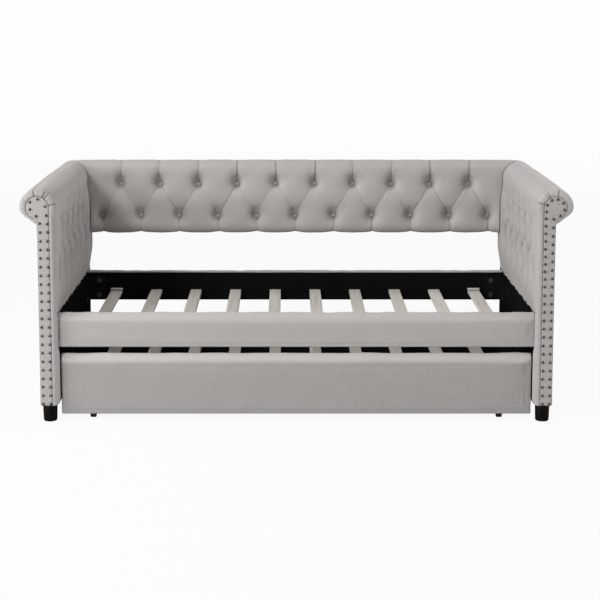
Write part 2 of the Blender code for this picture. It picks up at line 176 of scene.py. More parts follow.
def puff(name, grid, pinned, pressure, cap):
    """Inflate a section grid with a short cloth simulation and return the settled grid.

    pinned is 1 where the cover is held and 0 where it is free. cap limits how far it moves.
    """
    obj = bpy.data.objects.new(name, grid_mesh(name, grid))
    bpy.context.scene.collection.objects.link(obj)
    group = obj.vertex_groups.new(name="pinned")
    group.add(np.flatnonzero(pinned).tolist(), 1.0, "REPLACE")
    cloth = obj.modifiers.new("cloth", "CLOTH")
    settings = cloth.settings
    settings.vertex_group_mass = group.name
    settings.pin_stiffness = 1.0
    settings.use_pressure = True
    settings.uniform_pressure_force = pressure
    settings.tension_stiffness = settings.compression_stiffness = 8
    settings.bending_stiffness = 1.5
    settings.effector_weights.gravity = 0
    settings.quality = 5
    cloth.collision_settings.use_self_collision = False
    scene = bpy.context.scene
    for step in range(SIM_FRAMES):
        scene.frame_set(step + 1)
    evaluated = obj.evaluated_get(bpy.context.evaluated_depsgraph_get())
    settled = np.empty(grid.size)
    evaluated.data.vertices.foreach_get("co", settled)
    scene.frame_set(1)
    mesh = obj.data
    bpy.data.objects.remove(obj)
    bpy.data.meshes.remove(mesh)
    move = settled.reshape(grid.shape) - grid
    length = np.linalg.norm(move, axis=2, keepdims=True)
    return grid + move * np.minimum(1.0, cap / np.maximum(length, 1e-9))


# ---- Tufting ----

def lines_between(upper, lower, pitch):
    """Diagonal pleats joining the buttons of two rows."""
    return [(a, b) for a in upper for b in lower if abs(a[0] - b[0]) < 0.75 * pitch]


def dimples(u, v, buttons, depth, reach):
    """Height of the cover, negative where buttons pull it in."""
    height = np.zeros_like(u)
    for index, (bu, bv) in enumerate(buttons):
        pull = depth * (1 + 0.12 * math.sin(7.3 * index))
        away = ((u - bu) / reach) ** 2 + ((v - bv) / (1.15 * reach)) ** 2
        height -= pull / (1 + away) ** 1.6
    return height


def pleats(u, v, lines, crease, valley, breadth, seed, loose_end=False, shade=0.0):
    """Height and painted shade along sewn-in pleats: a thin crease in a soft valley.

    A pleat is strongest near its buttons. breadth is the half width of the valley, and shade is how much
    painted shade the whole valley gets, besides the painted shade along the crease.
    """
    rng = np.random.default_rng(seed)
    height, painted_shading = np.zeros_like(u), np.zeros_like(u)
    for (au, av), (bu, bv) in lines:
        strength, lean, bow = rng.uniform(0.8, 1.15), rng.choice((-1, 1)), rng.uniform(-0.004, 0.004)
        du, dv = bu - au, bv - av
        length = math.hypot(du, dv)
        t = np.clip(((u - au) * du + (v - av) * dv) / length ** 2, 0, 1)
        side = ((u - au) * dv - (v - av) * du) / length + bow * np.sin(math.pi * t)
        beyond = np.hypot(u - au - t * du, v - av - t * dv)
        gap = np.where((t > 0) & (t < 1), np.abs(side), beyond)
        middle = 1 - t if loose_end else np.abs(2 * t - 1)
        fade = strength * (0.45 + 0.55 * middle ** 1.5)
        width = 0.0034
        line = fade * np.exp(-(gap / width) ** 2)
        height -= crease * line + valley * fade * np.exp(-(gap / breadth) ** 2)
        height += 0.45 * crease * fade * lean * np.tanh(side / width) * np.exp(-(gap / 0.010) ** 2)
        # Painted shade along the crease and across the valley.
        painted_shading += 0.8 * line + shade * fade * np.exp(-(gap / (0.6 * breadth)) ** 2)
    return height, painted_shading


def settle(height, deepest):
    """Let overlapping folds reach no deeper than a limit, without a step."""
    return np.where(height < 0, -deepest * np.tanh(-height / deepest), height)


def seats(grid, on_face, u, v, buttons):
    """Where the cover lies under each button."""
    spots = []
    for bu, bv in buttons:
        near = on_face & (np.hypot(u - bu, v - bv) < 0.0075)
        spots.append(Vector(grid[near].mean(axis=0)))
    return spots


def pits(u, v, buttons, radius):
    """Painted shade round each button."""
    painted_shading = np.zeros_like(u)
    for bu, bv in buttons:
        painted_shading += 0.75 * np.exp(-((u - bu) ** 2 + (v - bv) ** 2) / radius ** 2)
    return painted_shading


# ---- Materials ----

FABRIC_COLOUR = (0.425, 0.404, 0.390)
PAINTED_LIGHT_MAX = 1.35                  # how much lighter the fabric is where painted light is strongest


def new_material(name, base, roughness, metallic=0.0):
    material = bpy.data.materials.new(name)
    material.use_nodes = True
    tree = material.node_tree
    shader = tree.nodes["Principled BSDF"]
    shader.inputs["Base Color"].default_value = (*base, 1)
    shader.inputs["Roughness"].default_value = roughness
    shader.inputs["Metallic"].default_value = metallic
    return material, tree, shader


def feed(tree, socket, value):
    """Link a socket to another node's output, or set it to a constant."""
    if isinstance(value, bpy.types.NodeSocket):
        tree.links.new(value, socket)
    else:
        socket.default_value = value


def add(tree, kind, **inputs):
    """Add a node and feed its inputs, given by name, or as i0, i1 and so on by number."""
    node = tree.nodes.new("ShaderNode" + kind)
    for key, value in inputs.items():
        numbered = key[0] == "i" and key[1:].isdigit()
        feed(tree, node.inputs[int(key[1:]) if numbered else key.replace("_", " ")], value)
    return node


def stretched(tree, scale):
    """Object coordinates scaled along each axis, in features per metre."""
    place = add(tree, "TexCoord").outputs["Object"]
    return add(tree, "Mapping", Vector=place, Scale=scale).outputs["Vector"]


def noise(tree, scale, detail=3.0, rough=0.6):
    """Noise texture whose features follow the three scales."""
    return add(tree, "TexNoise", Vector=stretched(tree, scale), Scale=1.0, Detail=detail,
               Roughness=rough).outputs["Fac"]


def ramp(tree, value, stops):
    node = add(tree, "ValToRGB", Fac=value)
    elements = node.color_ramp.elements
    while len(elements) < len(stops):
        elements.new(0.5)
    for element, (position, colour) in zip(elements, stops):
        element.position = position
        element.color = (*colour, 1)
    return node.outputs["Color"]


def mixed(tree, factor, first, second, mode="MIX"):
    node = tree.nodes.new("ShaderNodeMix")
    node.data_type = "RGBA"
    node.blend_type = mode
    for number, value in ((0, factor), (6, first), (7, second)):
        feed(tree, node.inputs[number], (*value, 1) if isinstance(value, tuple) else value)
    return node.outputs[2]


def arithmetic(tree, operation, *values):
    node = tree.nodes.new("ShaderNodeMath")
    node.operation = operation
    for socket, value in zip(node.inputs, values):
        feed(tree, socket, value)
    return node.outputs[0]


def bump(tree, shader, height, distance, strength=1.0):
    node = add(tree, "Bump", Height=height, Distance=distance, Strength=strength)
    tree.links.new(node.outputs["Normal"], shader.inputs["Normal"])


def tint(colour, factor):
    return tuple(c * factor for c in colour)


def fabric_material(name, colour):
    """Woven upholstery: crossed yarns, a brushed mottle and a soft sheen.

    The painted_shading attribute darkens it where positive, as painted shade in creases, round buttons,
    along seams and towards lower edges, and lightens it where negative, as painted light on faces and
    along top edges.
    """
    material, tree, shader = new_material(name, colour, 0.88)
    upright = noise(tree, (900, 900, 90), 2)
    level = noise(tree, (90, 90, 900), 2)
    yarn = arithmetic(tree, "ADD", upright, level)
    mottle = noise(tree, (5, 5, 14), 3)
    full = tint(colour, PAINTED_LIGHT_MAX)
    cast = ramp(tree, yarn, ((0.78, tint(full, 0.92)), (1.0, full), (1.2, tint(full, 1.06))))
    # The fabric's own faint mottle.
    mottle_and_painted_top_light = ramp(tree, mottle, ((0.3, (0.965, 0.965, 0.965)), (0.7, (1.0, 1.0, 1.0))))
    cast = mixed(tree, 1.0, cast, mottle_and_painted_top_light, "MULTIPLY")
    # Painted shade and painted light: the attribute picks a colour from full brightness at -1, through
    # plain at 0, to dark at 1.
    painted_shading = add(tree, "Attribute")
    painted_shading.attribute_name = "painted_shading"
    depth = add(tree, "MapRange", Value=painted_shading.outputs["Fac"], From_Min=-1.0, From_Max=1.0)
    flat, painted_shade_colour = tint((1, 1, 1), 1 / PAINTED_LIGHT_MAX), tint((0.36, 0.34, 0.34), 1 / PAINTED_LIGHT_MAX)
    shaded = ramp(tree, depth.outputs[0], ((0.0, (1, 1, 1)), (0.5, flat), (1.0, painted_shade_colour)))
    tree.links.new(mixed(tree, 1.0, cast, shaded, "MULTIPLY"), shader.inputs["Base Color"])
    bump(tree, shader, yarn, 0.0004, 0.35)
    shader.inputs["Sheen Weight"].default_value = 0.3
    shader.inputs["Sheen Roughness"].default_value = 0.45
    shader.inputs["Sheen Tint"].default_value = (1.0, 0.97, 0.94, 1)
    shader.inputs["Specular IOR Level"].default_value = 0.15
    return material


def lining_material(name):
    """Thin black non-woven cloth of matted fibres."""
    dark, light = (0.005, 0.005, 0.0055), (0.013, 0.013, 0.0135)
    material, tree, shader = new_material(name, dark, 0.8)
    fibres = noise(tree, (260, 260, 260), 5, 0.7)
    tree.links.new(ramp(tree, fibres, ((0.35, dark), (0.7, light))), shader.inputs["Base Color"])
    bump(tree, shader, fibres, 0.0007, 0.6)
    shader.inputs["Specular IOR Level"].default_value = 0.0
    return material


def wood_material(name, light, dark, lengthwise="Y"):
    """Planed softwood: long grain, growth bands, pores and board-to-board tone."""
    material, tree, shader = new_material(name, light, 0.62)
    grain_scale = {"Y": (55, 2.2, 55), "X": (2.2, 55, 55)}[lengthwise]
    pore_scale = {"Y": (600, 14, 600), "X": (14, 600, 600)}[lengthwise]
    tone_scale = {"Y": (5.2, 0.25, 5.2), "X": (0.25, 5.2, 5.2)}[lengthwise]
    grain = noise(tree, grain_scale, 5, 0.65)
    pores = noise(tree, pore_scale, 3)
    figure = ramp(tree, grain, ((0.32, dark), (0.5, light), (0.68, tint(light, 1.06))))
    tone = ramp(tree, noise(tree, tone_scale, 1), ((0.35, (0.88, 0.86, 0.84)), (0.65, (1, 1, 1))))
    speck = ramp(tree, pores, ((0.36, (0.86, 0.83, 0.80)), (0.5, (1, 1, 1))))
    figure = mixed(tree, 1.0, figure, tone, "MULTIPLY")
    tree.links.new(mixed(tree, 1.0, figure, speck, "MULTIPLY"), shader.inputs["Base Color"])
    feed(tree, shader.inputs["Roughness"], arithmetic(tree, "MULTIPLY_ADD", grain, 0.2, 0.5))
    bump(tree, shader, arithmetic(tree, "ADD", grain, pores), 0.0005, 0.5)
    shader.inputs["Specular IOR Level"].default_value = 0.3
    return material


def metal_material(name, colour, roughness, wear):
    """Metal with a mottled finish; wear brightens or darkens it in patches."""
    material, tree, shader = new_material(name, colour, roughness, 1.0)
    patches = noise(tree, (220, 220, 220), 5, 0.6)
    colours = ramp(tree, patches, ((0.35, colour), (0.7, tint(colour, wear))))
    tree.links.new(colours, shader.inputs["Base Color"])
    rough = arithmetic(tree, "MULTIPLY_ADD", patches, 0.25, roughness - 0.1)
    feed(tree, shader.inputs["Roughness"], rough)
    bump(tree, shader, noise(tree, (900, 900, 900), 2), 0.0002, 0.3)
    return material


def coated_material(name, colour, roughness, grain, gloss=0.2):
    """Opaque moulded, painted or stained surface with a fine texture."""
    material, tree, shader = new_material(name, colour, roughness)
    texture = noise(tree, (grain, grain, grain), 3)
    colours = ramp(tree, texture, ((0.3, colour), (0.75, tint(colour, 1.7))))
    tree.links.new(colours, shader.inputs["Base Color"])
    rough = arithmetic(tree, "MULTIPLY_ADD", texture, 0.2, roughness - 0.1)
    feed(tree, shader.inputs["Roughness"], rough)
    bump(tree, shader, texture, 0.0002, 0.4)
    shader.inputs["Specular IOR Level"].default_value = gloss
    return material


MATERIALS = {
    "fabric": fabric_material("upholstery", FABRIC_COLOUR),
    "timber": wood_material("frame_timber", (0.50, 0.37, 0.23), (0.36, 0.25, 0.14), "X"),
    "slat_wood": wood_material("slat_wood", (0.80, 0.765, 0.72), (0.66, 0.62, 0.57)),
    "black_lining": lining_material("black_lining"),
    "black_foot": coated_material("black_stain", (0.004, 0.0035, 0.003), 0.5, 60, 0.05),
    "black_steel": coated_material("black_powder_coat", (0.004, 0.004, 0.004), 0.55, 500),
    "zinc": metal_material("zinc_plate", (0.17, 0.155, 0.13), 0.42, 1.5),
    "black_plastic": coated_material("black_nylon", (0.012, 0.012, 0.012), 0.5, 300),
    "nail_pewter": metal_material("dark_pewter", (0.095, 0.087, 0.082), 0.20, 1.8),
}


def webbed_slats():
    """Slat wood, with woven webbing where the two straps run under the trundle's slats."""
    material = MATERIALS["slat_wood"].copy()
    material.name = "webbed_slat_wood"
    tree = material.node_tree
    shader = tree.nodes["Principled BSDF"]
    wood = shader.inputs["Base Color"].links[0].from_socket
    place = add(tree, "SeparateXYZ", Vector=add(tree, "TexCoord").outputs["Object"])
    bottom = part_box("trundle_slat_set")[0].z
    strap_y, half_width, thickness = 0.30, 0.0135, 0.0032
    below = arithmetic(tree, "LESS_THAN", place.outputs["Z"], bottom + thickness)
    across = arithmetic(tree, "ABSOLUTE", place.outputs["Y"])
    across = arithmetic(tree, "ABSOLUTE", arithmetic(tree, "SUBTRACT", across, strap_y))
    strap = arithmetic(tree, "MULTIPLY", below, arithmetic(tree, "LESS_THAN", across, half_width))
    yarns = noise(tree, (700, 160, 160), 2)
    weave = ramp(tree, yarns, ((0.3, (0.10, 0.09, 0.08)), (0.7, (0.22, 0.20, 0.18))))
    tree.links.new(mixed(tree, strap, wood, weave), shader.inputs["Base Color"])
    return material


def dress_cad_nodes():
    """Give each CAD node that stays its slot's procedural material."""
    for part in frame["record"]["subparts"]:
        mesh = frame["nodes"][part["node"]].data
        mesh.materials.clear()
        mesh.materials.append(MATERIALS[part["material_slot"]])
    slats = frame["nodes"]["trundle_slat_set"].data
    slats.materials[0] = webbed_slats()


# ---- Pieces ----

def piece(name, mesh, slot, body="root", replaces=()):
    mesh.materials.clear()
    mesh.materials.append(MATERIALS[slot])
    obj = bpy.data.objects.new(name, mesh)
    bpy.context.scene.collection.objects.link(obj)
    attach(obj, body)
    if replaces:
        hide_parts(*replaces)
    return obj


def turned(profile, centre, axis, segments=40):
    """Closed solid of revolution. profile is (radius, height) from one end's axis to the other's."""
    bm = bmesh.new()
    verts = [bm.verts.new((r, 0, h)) for r, h in profile]
    edges = [bm.edges.new(pair) for pair in zip(verts, verts[1:])]
    bmesh.ops.spin(bm, geom=verts + edges, cent=(0, 0, 0), axis=(0, 0, 1), angle=math.tau,
                   steps=segments, use_duplicate=False)
    bmesh.ops.remove_doubles(bm, verts=bm.verts, dist=1e-5)
    turn = Vector((0, 0, 1)).rotation_difference(Vector(axis)).to_matrix().to_4x4()
    bmesh.ops.transform(bm, matrix=Matrix.Translation(centre) @ turn, verts=bm.verts)
    return bm


def merged(name, parts):
    """One mesh from several bmeshes."""
    mesh = bpy.data.meshes.new(name)
    whole = bmesh.new()
    for part in parts:
        part.to_mesh(mesh)
        part.free()
        whole.from_mesh(mesh)
    bmesh.ops.recalc_face_normals(whole, faces=whole.faces)
    whole.to_mesh(mesh)
    whole.free()
    mesh.shade_smooth()
    mesh.set_sharp_from_angle(angle=math.radians(50))
    return mesh


def polar(centre, radius, degrees):
    """Point at a radius and an angle from the centre."""
    angle = math.radians(degrees)
    return (centre[0] + radius * math.cos(angle), centre[1] + radius * math.sin(angle))


def arc(centre, radius, start, end, steps):
    return [polar(centre, radius, degrees) for degrees in np.linspace(start, end, steps + 1)]


def spaced(points, spacing):
    """Points every spacing metres along a line of points, ends kept, last one left off."""
    points = np.array(points, float)
    lengths = np.hypot(*np.diff(points, axis=0).T)
    run = np.concatenate([[0], np.cumsum(lengths)])
    count = max(1, round(run[-1] / spacing))
    at = np.linspace(0, run[-1], count + 1)[:-1]
    return np.stack([np.interp(at, run, points[:, k]) for k in (0, 1)], 1)


def swept(section, stations, edge):
    """Grid of a (y, z) section along X, drawn in by a rounded edge at both ends."""
    closed = np.roll(section, -1, 0) - np.roll(section, 1, 0)
    normal = np.stack([closed[:, 1], -closed[:, 0]], 1)
    normal /= np.linalg.norm(normal, axis=1, keepdims=True)
    area = np.sum(section[:, 0] * np.roll(section[:, 1], -1) - np.roll(section[:, 0], -1) * section[:, 1])
    normal *= math.copysign(1, area)
    near = np.minimum(stations - stations[0], stations[-1] - stations)
    draw = edge * (1 - np.sqrt(1 - (1 - np.clip(near / edge, 0, 1)) ** 2))
    grid = np.empty((len(section), len(stations), 3))
    grid[:, :, 0] = stations
    grid[:, :, 1] = section[:, :1] - normal[:, :1] * draw
    grid[:, :, 2] = section[:, 1:] - normal[:, 1:] * draw
    return grid


def stations_between(low, high, spacing, edge):
    """Even stations with closer ones where the ends are rounded."""
    ends = edge * (1 - np.cos(np.linspace(0, math.pi / 2, 5)))[:-1]
    middle = np.linspace(low + edge, high - edge, round((high - low - 2 * edge) / spacing) + 1)
    return np.concatenate([low + ends, middle, (high - ends)[::-1]])


# ---- Back ----

def back_section():
    """Section of the back (y, z): up the front, over the rounded top, down the rear."""
    low, high = BACK_LOW, BACK_HIGH
    front, rear = low.y + 0.003, REAR_Y
    nose, heel, hem, crown = 0.034, 0.012, 0.026, 0.045
    up = [(front + hem * (1 - math.sin(a)), low.z + crown * (1 - math.cos(a)))
          for a in np.radians(range(0, 91, 9))]
    over = arc((front + nose, high.z - nose), nose, 180, 90, 6)
    behind = arc((rear - heel, high.z - heel), heel, 90, 0, 3)
    fine = spaced(up + over + behind, COARSE)
    plain = spaced([behind[-1], (rear, low.z + 0.006), (rear - 0.006, low.z), (front + hem, low.z)], 0.03)
    return np.concatenate([fine, plain]), len(fine)


def button_rows():
    upper = [((k - 4.5) * BACK_PITCH, BACK_ROWS[0]) for k in range(10)]
    lower = [((k - 5) * BACK_PITCH, BACK_ROWS[1]) for k in range(11)]
    return upper, lower


def surface_height(grid, front):
    """A height that keeps growing over the top: z on the face, plus the way back over the nose."""
    return grid[:, :, 2] + np.maximum(0, grid[:, :, 1] - front - 0.012)


def conform_ends(grid):
    """Fit the ends to the arms' inner faces, and lay the upper corners over their scrolls."""
    reach = BACK_HIGH.x - 0.001
    gap = 0.001
    x, z = grid[:, :, 0], grid[:, :, 2]
    rise = np.clip((z - ROLL_Z) / (ROLL_R + gap), -1, 1)
    scroll = ROLL_X - (ROLL_R + gap) * np.sqrt(1 - rise ** 2)
    slope = np.clip((ROLL_Z - z) / ROLL_EASE, 0, 1)
    beside = ROLL_X - ROLL_R - gap + (INNER_X - ROLL_X + ROLL_R) * slope - arm_bulge(BACK_LOW.y, z)
    end = np.where(z > ROLL_Z, np.minimum(scroll, reach), beside)
    blend = smoothstep(0.80, 0.985, np.abs(x) / BACK_HALF)
    grid[:, :, 0] = x * (1 + blend * (end / BACK_HALF - 1))


def inflated_back(buttons):
    """Settled grid of the back's cover, before its pleats."""
    section, fine_rows = back_section()
    edge = 0.003
    grid = swept(section, stations_between(-BACK_HALF, BACK_HALF, COARSE, edge), edge)
    facing = np.zeros(grid.shape[:2])
    facing[:fine_rows] = 1.0
    v = surface_height(grid, BACK_LOW.y)
    wide = facing * dimples(grid[:, :, 0], v, buttons, 0.015, 0.042)
    grid = grid + grid_normals(grid) * wide[:, :, None]
    pinned = np.where(facing > 0, 0.0, 1.0)
    pinned[wide < -0.0115] = 1.0
    pinned[:, [0, -1]] = 1.0
    grid = refine(puff("back_cushion_sim", grid, pinned, 1.6, 0.007))
    conform_ends(grid)
    return grid


def back_tufting(u, v, upper, lower):
    """Height and painted shade of the back's buttons, and of the pleats across, above and below them."""
    top = BACK_HIGH.z + 0.06
    drops = [(b, (b[0] + 0.006 * math.sin(5 * k), BACK_LOW.z - 0.01)) for k, b in enumerate(lower)]
    rises = [(b, (b[0] + 0.007 * math.sin(3 * k), top)) for k, b in enumerate(upper)]
    crossing = lines_between(upper, lower, BACK_PITCH)
    crossed, crossed_shade = pleats(u, v, crossing, 0.0048, 0.0050, 0.026, 3)
    upright, upright_shade = pleats(u, v, drops + rises, 0.0060, 0.0060, 0.024, 4, True)
    height = settle(dimples(u, v, upper + lower, 0.026, 0.023) + crossed + upright, 0.030)
    # Painted shade along the pleats and round the buttons.
    return height, 0.5 * crossed_shade + 0.9 * upright_shade + pits(u, v, upper + lower, 0.016)


def back_cushion():
    upper, lower = button_rows()
    grid = inflated_back(upper + lower)
    u, v = grid[:, :, 0], surface_height(grid, BACK_LOW.y)
    facing = (grid[:, :, 1] < REAR_Y - 0.012) * smoothstep(BACK_LOW.z - 0.001, BACK_LOW.z + 0.008, v)
    height, painted_shading = back_tufting(u, v, upper, lower)
    height += 0.0005 * ripple(u, v, 0.09, 5)
    painted_shading *= facing
    # Painted shade: the cover is painted darker towards its bottom edge.
    painted_shading += 0.45 * (1 - smoothstep(BACK_LOW.z, BACK_LOW.z + 0.024, grid[:, :, 2]))
    # Painted light: the face of the back, below its top band, is painted lighter.
    painted_shading -= 0.35 * facing * (1 - smoothstep(BACK_HIGH.z - 0.05, BACK_HIGH.z - 0.01, v))
    grid = grid + grid_normals(grid) * (facing * height)[:, :, None]
    sag = 0.0012 * np.abs(np.sin(math.pi * u / BACK_PITCH)) + 0.0006 * ripple(u, 0 * v, 0.15, 6)
    grid[:, :, 2] -= sag * (1 - smoothstep(BACK_LOW.z + 0.004, BACK_LOW.z + 0.05, grid[:, :, 2]))
    piece("back_cushion", grid_mesh("back_cushion", grid, painted_shading), "fabric",
          replaces=("back_pad", "back_frame"))
    spots = seats(grid, facing > 0.5, u, v, upper + lower)
    buttons = [button(spot, (0, -1, 0)) for spot in spots]
    piece("back_buttons", merged("back_buttons", buttons), "fabric")


def button(centre, axis, radius=0.0092):
    """Fabric-covered button: a low dome with a turned-under rim."""
    rim = radius * 0.3
    dome = [(0, 0.0075), (radius * 0.35, 0.0071), (radius * 0.7, 0.0056), (radius * 0.93, 0.0030)]
    return turned(dome + [(radius, 0.001), (radius * 0.95, -rim), (radius * 0.5, -rim), (0, -rim)],
                  centre, axis, 20)


# ---- Arms ----

def arm_section():
    """Right arm's closed section (x, z) and the seam point inward of each of its points.

    It runs up the outside, round the scroll, down the inside to the floor end and back. Also
    returns the rows where the scroll, the inner face and the part below the deck start.
    """
    outside = spaced([(OUTER_X, ARM_BOTTOM + 0.004), (OUTER_X, NECK[1] - 0.006), NECK], 0.05)
    lip = [NECK] + [polar(ROLL_CENTRE, distance, degrees) for degrees, distance in LIP]
    scroll = spaced(lip + arc(ROLL_CENTRE, ROLL_R, 0, 180, 40), 0.010)
    inside = spaced([(ROLL_X - ROLL_R, ROLL_Z), (INNER_X, ROLL_Z - ROLL_EASE),
                     (INNER_X, DECK_Z + 0.001)], 0.011)
    below = spaced([(INNER_X, DECK_Z + 0.001), (INNER_X, ARM_BOTTOM + 0.004)], 0.03)
    under = spaced([(INNER_X, ARM_BOTTOM + 0.004), (INNER_X + 0.004, ARM_BOTTOM),
                    (OUTER_X - 0.004, ARM_BOTTOM), (OUTER_X, ARM_BOTTOM + 0.004)], 0.015)
    points = np.concatenate([outside, scroll, inside, below, under])
    seam = np.array([seam_point(x, z) for x, z in points])
    return points, seam, np.cumsum([len(outside), len(scroll), len(inside)])


def seam_point(x, z):
    """Where the cover's edge tucks in behind the facing, for a point of the outer section."""
    if z > ROLL_Z or x > OUTER_X + 0.001:
        dx, dz = x - ROLL_X, z - ROLL_Z
        scale = CORE_R / math.hypot(dx, dz)
        return ROLL_X + dx * scale, ROLL_Z + dz * scale
    seam_x = BOARD_X + 0.0004 if x < (BOARD_X + OUTER_X) / 2 else OUTER_X - 0.0012
    if z < ARM_BOTTOM + 0.003:
        return min(max(x, BOARD_X), OUTER_X - 0.0012), ARM_BOTTOM + 0.0012
    return seam_x, z


NOSE = 0.014                    # how far back the rounded front border reaches
BULGE = INNER_X - ARM_LOW.x     # how far the inner face swells


def arm_bulge(y, z):
    """How far the padding swells inward from the flat inner face."""
    full_from, full_to = 0.58, 0.80
    rise = smoothstep(DECK_Z, full_from, z) * (1 - smoothstep(full_to, ROLL_Z, z))
    back = smoothstep(FRONT_Y + 0.01, FRONT_Y + 0.10, y)
    return BULGE * rise * (0.25 + 0.75 * back)


def arm_grid():
    """Grid of the right arm, the rows from arm_section, and how many columns the border takes."""
    points, seam, starts = arm_section()
    # The rounded border, from the seam at the facing round to the side of the arm
    border = FRONT_Y + np.array([0.0042, 0.0022, 0.0007, 0.0, 0.0004, 0.0020, 0.0050, 0.0090, NOSE])
    slide = np.array([1.0, 0.95, 0.85, 0.70, 0.52, 0.33, 0.17, 0.06, 0.0])
    depth = np.concatenate([border, stations_between(FRONT_Y + NOSE, REAR_Y, ARM_COARSE, 0.008)[4:]])
    inward = np.concatenate([slide, np.zeros(len(depth) - len(slide))])
    grid = np.empty((len(points), len(depth), 3))
    for axis, column in ((0, 0), (2, 1)):
        grid[:, :, axis] = points[:, column, None] + (seam - points)[:, column, None] * inward
    grid[:, :, 1] = depth
    tuck = 0.006 * (1 - np.sqrt(1 - (1 - np.clip((REAR_Y - depth) / 0.008, 0, 1)) ** 2))
    normals = grid_normals(grid)
    normals[:, :, 1] = 0
    grid -= outward(grid, normals) * tuck[None, :, None]
    return grid, starts, len(slide)


def outward(grid, normals):
    """Flip the normals of a right arm's grid to point away from it."""
    middle = grid.shape[1] // 2
    top = np.argmax(grid[:, middle, 2])
    return normals * math.copysign(1, normals[top, middle, 2])


def arm_buttons():
    upper = [(FRONT_Y + 0.200 + ARM_PITCH * k, ARM_ROWS[0]) for k in range(5)]
    lower = [(FRONT_Y + 0.116 + ARM_PITCH * k, ARM_ROWS[1]) for k in range(6)]
    return upper, lower


def arm_surface(grid):
    """Distance along the cover from the deck up the inner face and on over the scroll."""
    x, z = grid[:, :, 0], grid[:, :, 2]
    angle = np.arctan2(z - ROLL_Z, ROLL_X - x)
    over = ROLL_Z + ROLL_R * np.clip(angle, 0, math.pi)
    return np.where(z > ROLL_Z, over, np.where(x > ROLL_X, ROLL_Z + math.pi * ROLL_R, z))


# Tucks of the border round the scroll: angle in degrees, and strength
TUCKS = ((166, 0.9), (128, 0.8), (117, 1.0), (77, 0.9), (30, 0.25))


def gathers(grid, seed):
    """Small tucks that gather the border round the scroll, deepest at the seam, with painted shade along
    each tuck.
    """
    rng = np.random.default_rng(seed)
    x, z = grid[:, :, 0], grid[:, :, 2]
    angle = np.degrees(np.arctan2(z - ROLL_Z, x - ROLL_X))
    y = grid[:, :, 1]
    height, painted_shading = np.zeros_like(x), np.zeros_like(x)
    for middle, strength in TUCKS:
        middle += rng.uniform(-3, 3)
        reach = rng.uniform(0.020, 0.040)
        gap = (angle - middle) * math.radians(1) * 0.06
        fade = np.exp(-np.maximum(0, y - FRONT_Y) / reach)
        line = strength * fade * np.exp(-(gap / 0.0030) ** 2)
        height += 0.0012 * strength * fade * np.exp(-((gap - 0.008) / 0.006) ** 2) - 0.0045 * line
        # Painted shade along the tuck's groove.
        painted_shading += 0.9 * line
    scroll = smoothstep(ROLL_Z - 0.075, ROLL_Z - 0.04, z)
    return height * scroll, painted_shading * scroll


# Painted light on each arm: how much lighter the fabric is painted over the scroll, and on the inner face
ARM_PAINTED_LIGHT = {-1: (0.0, 0.30), 1: (0.45, 0.0)}


def inflated_arm(label, buttons):
    """Settled grid of the right arm before its pleats, and the row where the deck meets it."""
    grid, (scroll_row, face_row, deck_row), nose_columns = arm_grid()
    inside = np.zeros(grid.shape[:2])
    inside[face_row:deck_row, nose_columns:] = 1.0
    y, v = grid[:, :, 1], arm_surface(grid)
    grid[:, :, 0] -= inside * arm_bulge(y, grid[:, :, 2])
    wide = inside * dimples(y, v, buttons, 0.022, 0.042)
    grid = grid + outward(grid, grid_normals(grid)) * wide[:, :, None]
    pinned = np.ones(grid.shape[:2])
    pinned[scroll_row + 4:deck_row - 1, nose_columns:-2] = 0.0
    pinned[wide < -0.0160] = 1.0
    pinned[y > BACK_LOW.y - 0.02] = 1.0
    return refine(puff(f"arm_sim_{label}", grid, pinned, 1.6, 0.007)), deck_row * FINE


def short_folds(buttons):
    """Short folds that leave each button, and others halfway to the next one."""
    strokes = [(b, (b[0] + 0.040 * lean, b[1] + 0.070 * lift)) for b in buttons
               for lean, lift in ((-1, 1), (1, 1), (0.3, -1))]
    halfway = [(b[0] + ARM_PITCH / 2, b[1]) for b in buttons]
    between = [((h[0] + 0.01 * math.sin(7 * k), h[1] + 0.03 * math.cos(4 * k)),
                (h[0] + 0.02 * math.sin(5 * k), h[1] - 0.07)) for k, h in enumerate(halfway)]
    return strokes + between


def arm_tufting(y, v, upper, lower, side, seed):
    """Height and painted shade of an arm's buttons and pleats, which run out where the scroll starts."""
    drops = [(b, (b[0] + 0.012 * math.sin(4 * k + side), DECK_Z)) for k, b in enumerate(lower)]
    rises = [(b, (b[0] + 0.035 * math.sin(5 * k + side), ROLL_Z + 0.02 * math.sin(3 * k)))
             for k, b in enumerate(upper)]
    crossing, folds = lines_between(upper, lower, ARM_PITCH), short_folds(upper + lower)
    crossed, crossed_shade = pleats(y, v, crossing, 0.0056, 0.0190, 0.030, seed, shade=0.40)
    dropped, dropped_shade = pleats(y, v, drops, 0.0036, 0.0080, 0.022, seed + 1, True, shade=0.12)
    risen, risen_shade = pleats(y, v, rises, 0.0040, 0.0115, 0.022, seed + 2, True, shade=0.30)
    short, short_shade = pleats(y, v, folds, 0.0040, 0.0100, 0.014, seed + 6, True, shade=0.30)
    smooth_roll = 1 - smoothstep(ROLL_Z - 0.045, ROLL_Z + 0.035, v)
    height = dimples(y, v, upper + lower, 0.022, 0.024) + crossed + dropped + short
    # Painted shade along the pleats, and round the buttons below.
    painted_shading = 1.1 * crossed_shade + 0.6 * dropped_shade + 0.9 * short_shade + 0.9 * risen_shade * smooth_roll
    return settle(height + risen * smooth_roll, 0.030), painted_shading + pits(y, v, upper + lower, 0.020)


